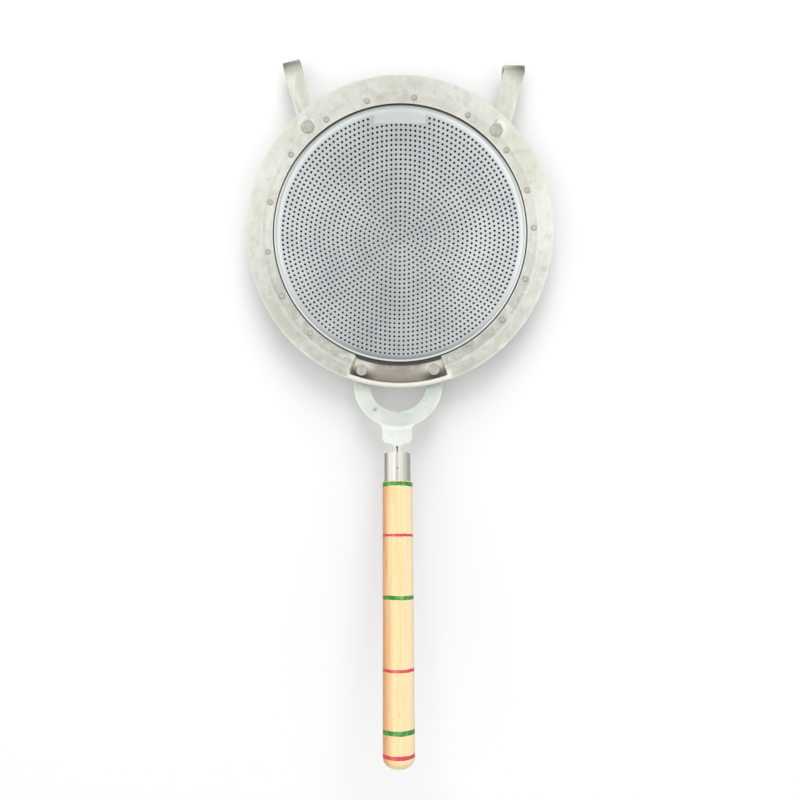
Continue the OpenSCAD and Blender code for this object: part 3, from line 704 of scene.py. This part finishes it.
RIM_UNDERSIDE = (
    ((132.3, 22.75), (132.1, 21.0)),
    ((131.4, 22.4), (130.6, 20.15)),
    ((129.0, 21.76), (129.3, 19.9)),
    ((127.0, 21.28), (129.0, 18.2)),
    ((124.0, 20.55), (128.9, 16.8)),
    ((121.4, 19.95), (128.3, 15.9)),
    ((119.0, 19.4), (126.5, 15.552)),
    ((117.0, 19.252), (121.5, 15.552)),
    ((110.9, 19.252), (113.5, 15.552)),
    ((110.5, 19.3), (113.2, 15.6)),
)
RIM_SECTION = RIM_TOP + RIM_UNDERSIDE
# Rows of the section that the folded lip is made of
LIP_ROWS = range(12, 21)
RIM_STEPS = 1080
POCKET_TURN = 0.8


def from_pocket(x, y):
    """A point's angle from the pocket's middle, in degrees towards +X."""
    return math.degrees(math.atan2(x, -y)) + POCKET_TURN


def eased_step(value, low, high):
    """Runs smoothly from 0 at low to 1 at high."""
    t = min(max((value - low) / (high - low), 0), 1)
    return t * t * (3 - 2 * t)


class LADLE_OT_rim(bpy.types.Operator):
    """Spins the rim and presses in its pocket, its folded lip and the hooks' flat seats"""

    bl_idname = "ladle.rim"
    bl_label = "Rim"

    def execute(self, context):
        half = context.scene.ladle.pocket_angle / 2
        rim = spun("rim", [plain for plain, sunk in RIM_SECTION], RIM_STEPS, closed=True)
        for vertex in rim.data.vertices:
            self.press(vertex, half)
        make_active(rim)
        bpy.ops.object.shade_smooth_by_angle(angle=math.radians(50))
        finish_piece(rim, tinned_rim(), "tinned_rim", "rim_ring")
        return {"FINISHED"}

    def press(self, vertex, half):
        """Moves one point of the spun rim to its place in the pocket, the lip or a seat."""
        x, y, z = vertex.co
        reach = math.hypot(x, y)
        row = min(range(len(RIM_SECTION)),
                  key=lambda k: math.dist((reach, z), (RIM_SECTION[k][0][0] * MM, RIM_SECTION[k][0][1] * MM)))
        angle = from_pocket(x, y)
        sunk = eased_step(angle, -half - 0.7, -half + 1.5) * (1 - eased_step(angle, half - 0.3, half + 0.6))
        if row in LIP_ROWS:
            sunk = eased_step(angle, -half - 0.9, -half - 0.3) * (1 - eased_step(angle, half + 0.3, half + 0.9))
        if sunk > 0:
            target_r, target_z = RIM_SECTION[row][1]
            # The lip's two ends are a little thicker
            if row in LIP_ROWS:
                end = max(0, 1 - abs(abs(angle) - half) / 0.8)
                target_z += 0.35 * end
            new_reach = reach + (target_r * MM - reach) * sunk
            vertex.co = (x * new_reach / reach, y * new_reach / reach, z + (target_z * MM - z) * sunk)
            return
        for seat_x, seat_y in HOOK_RIVETS:
            flat = 1 - eased_step(math.hypot(x - seat_x, y - seat_y), 5.9 * MM, 6.9 * MM)
            level = SEAT_TOP if row < len(RIM_TOP) else FLANGE_TOP
            if flat > 0 and z > level:
                vertex.co.z = z + (level - z) * flat


# Rivets: radius and height in millimetres, from the middle of the head to the middle of the foot
SMALL_RIVET = ((0, 0.62), (0.8, 0.66), (1.25, 0.9), (1.6, 0.88), (1.95, 0.6), (2.1, 0.2), (2.1, 0), (1.2, 0),
               (1.2, -1.8), (1.65, -1.8), (1.5, -2.2), (0.9, -2.34), (0, -2.34))
HOOK_RIVET = ((0, 1.1), (2.6, 1.12), (3.9, 1.2), (4.6, 1.05), (5.05, 0.6), (5.15, 0.2), (5.15, 0), (2.5, 0),
              (2.5, -3.0), (3.82, -3.0), (3.6, -3.5), (2.8, -3.72), (0, -3.72))
BRACKET_RIVET = ((0, 0.6), (2.8, 0.62), (3.4, 0.8), (4.0, 1.2), (4.5, 1.18), (5.0, 0.7), (5.15, 0.2), (5.15, 0),
                 (2.5, 0), (2.5, -2.8), (3.82, -2.8), (3.6, -3.3), (2.8, -3.52), (0, -3.52))


class LADLE_OT_rivets(bpy.types.Operator):
    """Turns the small ringed rivets, the hooks' rivets and the bracket's dished rivets"""

    bl_idname = "ladle.rivets"
    bl_label = "Rivets"

    def execute(self, context):
        large = rivet_steel("large_rivet_steel", "#B2B2A8", "#D2D2C8")
        small_places = [Matrix.Rotation(math.radians(a), 4, "Z") @ Matrix.Translation((SMALL_RIVET_R, 0, BAND_TOP))
                        for a in SMALL_RIVETS]
        small = copies(self.turned("small_rivet", SMALL_RIVET, 24), "small_rivets", small_places)
        finish_piece(small, rivet_steel("small_rivet_steel", "#B4B4A6", "#D2D2C6"), "small_rivets", "disc_rivets")
        hook_places = [Matrix.Translation((x, y, SEAT_TOP)) for x, y in HOOK_RIVETS]
        hooks = copies(self.turned("hook_rivet", HOOK_RIVET, 48), "hooks_large_rivets", hook_places)
        finish_piece(hooks, large, "large_rivets", "hook_rivets")
        bracket_places = [Matrix.Translation((x, y, FLOOR_TOP)) for x, y in BRACKET_RIVETS]
        bracket = copies(self.turned("bracket_rivet", BRACKET_RIVET, 48), "brackets_large_rivets", bracket_places)
        finish_piece(bracket, large, "large_rivets", "bracket_rivets")
        return {"FINISHED"}

    def turned(self, name, profile, steps):
        rivet = spun(name, profile, steps)
        make_active(rivet)
        bpy.ops.object.shade_smooth_by_angle(angle=math.radians(50))
        return rivet


class LADLE_OT_hooks(bpy.types.Operator):
    """Eases the edges of the two hooks and gives them their strip steel"""

    bl_idname = "ladle.hooks"
    bl_label = "Hooks"

    def execute(self, context):
        strip = strip_steel()
        for node, name in (("left_hook", "left_hook_strip"), ("right_hook", "right_hook_strip")):
            finish_piece(eased_copy(node, name, 0.3), strip, "hook_strip", node)
        return {"FINISHED"}


class LADLE_OT_fork(bpy.types.Operator):
    """Eases the edges of the fork bracket and gives it its stamped steel"""

    bl_idname = "ladle.fork"
    bl_label = "Fork bracket"

    def execute(self, context):
        finish_piece(eased_copy("fork_bracket", "fork", 0.35), fork_steel(), "fork_steel", "fork_bracket")
        return {"FINISHED"}


class LADLE_OT_handle(bpy.types.Operator):
    """Gives the handle its wood and painted bands, and the ferrule its tube and nail"""

    bl_idname = "ladle.handle"
    bl_label = "Handle"

    def execute(self, context):
        dress("handle", painted_wood())
        dress("ferrule", ferrule_tube())
        dress("ferrule_nail", rivet_steel("nail_steel", "#98978A", "#B4B3A6"))
        return {"FINISHED"}


# The stage

CAMERA_AT = Vector((8.24, -94.09, 593.23)) * MM
CAMERA_FORWARD = Vector((-0.01368, -0.08551, -0.99624))
CAMERA_UP = Vector((-0.00256, 0.99634, -0.08548))
LENS = 29.25
# The table top's tone for the camera, at which it is just white where nothing shades it
FLOOR_WHITE = (0.88, 0.88, 0.88, 1)


def floor_material():
    """A plain pale table top, seen as white where nothing shades it."""
    material, tree, shader, place = new_material("table_top", Roughness=0.9)
    path = add(tree, "ShaderNodeLightPath")
    seen = calculate(tree, "MAXIMUM", path.outputs["Is Camera Ray"], path.outputs["Is Glossy Ray"])
    seen = calculate(tree, "MAXIMUM", seen, path.outputs["Is Transmission Ray"])
    tree.nodes.remove(shader)
    # The deepest shade, close under the dish, is given to the table top too
    under = spread(tree, radius_from_axis(tree, place), 108, 124, (0.0, 1.0), (1.0, 0.0))
    plain = add(tree, "ShaderNodeBsdfDiffuse", Color=mix(tree, under, (0.4, 0.4, 0.4, 1), (0.03, 0.03, 0.03, 1)))
    bright = add(tree, "ShaderNodeBsdfDiffuse", Color=mix(tree, under, FLOOR_WHITE, (0.05, 0.05, 0.05, 1)))
    chosen = add(tree, "ShaderNodeMixShader", Fac=seen, _1=plain.outputs[0], _2=bright.outputs[0])
    output = next(n for n in tree.nodes if n.type == "OUTPUT_MATERIAL")
    tree.links.new(chosen.outputs[0], output.inputs["Surface"])
    return material


# How bright the room is, as a place from -1 to 1 and a grey: across it from left to right, along it from the
# handle to the hooks, and up it from the floor to straight overhead
ROOM_ACROSS = ((-1.0, 0.75), (-0.68, 0.9), (-0.38, 1.0), (-0.22, 0.95), (-0.1, 0.48), (0.0, 0.38), (0.1, 0.47),
               (0.22, 0.95), (0.38, 0.95), (0.55, 0.8), (1.0, 0.6))
ROOM_ALONG = ((-1.0, 0.5), (-0.4, 0.75), (-0.24, 0.88), (-0.1, 0.7), (0.0, 0.52), (0.08, 0.65), (0.17, 0.92),
              (0.25, 0.65), (0.33, 0.4), (0.4, 0.75), (0.5, 1.0), (0.55, 0.6), (0.62, 0.3), (1.0, 0.3))
ROOM_UP = ((-1.0, 0.1), (0.0, 0.4), (0.15, 0.9), (0.3, 1.0), (1.0, 1.0))
ROOM_STRENGTH = 1.68


def soft_room():
    """A pale room with soft windows at both sides, and dim behind the hooks."""
    world = bpy.data.worlds.new("soft_room")
    world.use_nodes = True
    tree = world.node_tree
    background = tree.nodes["Background"]
    parts = add(tree, "ShaderNodeSeparateXYZ", Vector=add(tree, "ShaderNodeTexCoord").outputs["Generated"])
    light = (1, 1, 1, 1)
    for axis, stops in (("X", ROOM_ACROSS), ("Y", ROOM_ALONG), ("Z", ROOM_UP)):
        place = calculate(tree, "MULTIPLY_ADD", parts.outputs[axis], 0.5, 0.5)
        light = mix(tree, 1.0, ramp(tree, place, *((at / 2 + 0.5, grey) for at, grey in stops)), light, "MULTIPLY")
    tree.links.new(light, background.inputs["Color"])
    background.inputs["Strength"].default_value = ROOM_STRENGTH
    # The camera sees a plain white wall, and so do metal and varnish near the horizon
    path = add(tree, "ShaderNodeLightPath")
    mirrored = calculate(tree, "MAXIMUM", path.outputs["Is Glossy Ray"], path.outputs["Is Transmission Ray"])
    low = ramp(tree, parts.outputs["Z"], (0.1, 1.0), (0.35, 0.0))
    seen = calculate(tree, "MAXIMUM", path.outputs["Is Camera Ray"], calculate(tree, "MULTIPLY", mirrored, low))
    wall = add(tree, "ShaderNodeBackground", Color=(1, 1, 1, 1))
    shown = add(tree, "ShaderNodeMixShader", Fac=seen, _1=background.outputs[0], _2=wall.outputs[0])
    tree.links.new(shown.outputs[0], tree.nodes["World Output"].inputs["Surface"])
    return world


def area_light(name, at, aim, size, power):
    """A square soft box that points from one place to another."""
    lamp = bpy.data.lights.new(name, "AREA")
    lamp.shape = "SQUARE"
    lamp.size = size
    lamp.energy = power
    box = bpy.data.objects.new(name, lamp)
    bpy.context.scene.collection.objects.link(box)
    box.location = at
    box.rotation_euler = (Vector(aim) - Vector(at)).to_track_quat("-Z", "Y").to_euler()
    return box


class LADLE_OT_stage(bpy.types.Operator):
    """Sets the table top, the soft lights and the camera at the photograph's angle"""

    bl_idname = "ladle.stage"
    bl_label = "Stage"

    def execute(self, context):
        scene = context.scene
        deselect_all()
        bpy.ops.mesh.primitive_plane_add(size=8, location=(0, 0, -0.0005))
        floor = context.active_object
        floor.name = "table_top"
        floor.data.materials.append(floor_material())
        scene.world = soft_room()
        key = area_light("key", (0.35, 4.6, 2.7), (0, -0.05, 0), 3.6, 230)
        key.visible_glossy = False
        camera = bpy.data.objects.new("camera", bpy.data.cameras.new("camera"))
        scene.collection.objects.link(camera)
        right = CAMERA_FORWARD.cross(CAMERA_UP).normalized()
        up = right.cross(CAMERA_FORWARD).normalized()
        turn = Matrix((right, up, -CAMERA_FORWARD.normalized())).transposed()
        camera.matrix_world = Matrix.Translation(CAMERA_AT) @ turn.to_4x4()
        camera.data.lens = LENS
        camera.data.sensor_width = 36
        camera.data.clip_start = 0.01
        scene.camera = camera
        scene.view_settings.view_transform = "Standard"
        return {"FINISHED"}


# The add-on


class LadleSettings(bpy.types.PropertyGroup):
    """Sizes and paints of the ladle that can be changed"""

    hole_diameter: bpy.props.FloatProperty(
        name="Hole diameter", description="Width of one drain hole",
        default=2.1 * MM, subtype="DISTANCE", unit="LENGTH", precision=4)
    hole_pitch: bpy.props.FloatProperty(
        name="Hole pitch", description="Distance between rings of holes along the sheet",
        default=4 * MM, subtype="DISTANCE", unit="LENGTH", precision=4)
    hole_rings: bpy.props.IntProperty(
        name="Rings", description="Number of rings of holes round the centre hole", default=26)
    hole_turn: bpy.props.FloatProperty(
        name="Pattern turn", description="Turn of the pattern against the pan's axis, in degrees", default=-0.5)
    plate_width: bpy.props.FloatProperty(
        name="Blank plate", description="Width of the place without holes at the front",
        default=48 * MM, subtype="DISTANCE", unit="LENGTH", precision=4)
    pocket_angle: bpy.props.FloatProperty(
        name="Pocket", description="Angle that the pocket takes of the rim, in degrees", default=39.4)
    green: bpy.props.FloatVectorProperty(
        name="Green paint", description="Thin green paint of the bands",
        default=linear("#6FB35C")[:3], subtype="COLOR", size=3)
    green_dark: bpy.props.FloatVectorProperty(
        name="Thick green paint", description="Thick green paint of the bands",
        default=linear("#2F7D34")[:3], subtype="COLOR", size=3)
    red: bpy.props.FloatVectorProperty(
        name="Red paint", description="Thin red paint of the bands",
        default=linear("#E8747C")[:3], subtype="COLOR", size=3)
    red_dark: bpy.props.FloatVectorProperty(
        name="Thick red paint", description="Thick red paint of the bands",
        default=linear("#C93A4C")[:3], subtype="COLOR", size=3)


OPERATORS = (
    LADLE_OT_dish,
    LADLE_OT_rim,
    LADLE_OT_rivets,
    LADLE_OT_hooks,
    LADLE_OT_fork,
    LADLE_OT_handle,
    LADLE_OT_stage,
)


class LADLE_PT_panel(bpy.types.Panel):
    """Lists the ladle's sizes, paints and pieces"""

    bl_idname = "LADLE_PT_panel"
    bl_label = "Frying ladle"
    bl_space_type = "VIEW_3D"
    bl_region_type = "UI"
    bl_category = "Ladle"

    def draw(self, context):
        column = self.layout.column()
        for name in LadleSettings.__annotations__:
            column.prop(context.scene.ladle, name)
        for operator in OPERATORS:
            column.operator(operator.bl_idname)


def register():
    for cls in (LadleSettings, *OPERATORS, LADLE_PT_panel):
        bpy.utils.register_class(cls)
    bpy.types.Scene.ladle = bpy.props.PointerProperty(type=LadleSettings)


def unregister():
    del bpy.types.Scene.ladle
    for cls in reversed((LadleSettings, *OPERATORS, LADLE_PT_panel)):
        bpy.utils.unregister_class(cls)


def main():
    register()
    bpy.ops.ladle.dish()
    bpy.ops.ladle.rim()
    bpy.ops.ladle.rivets()
    bpy.ops.ladle.hooks()
    bpy.ops.ladle.fork()
    bpy.ops.ladle.handle()
    bpy.ops.ladle.stage()


if __name__ == "__main__":
    main()
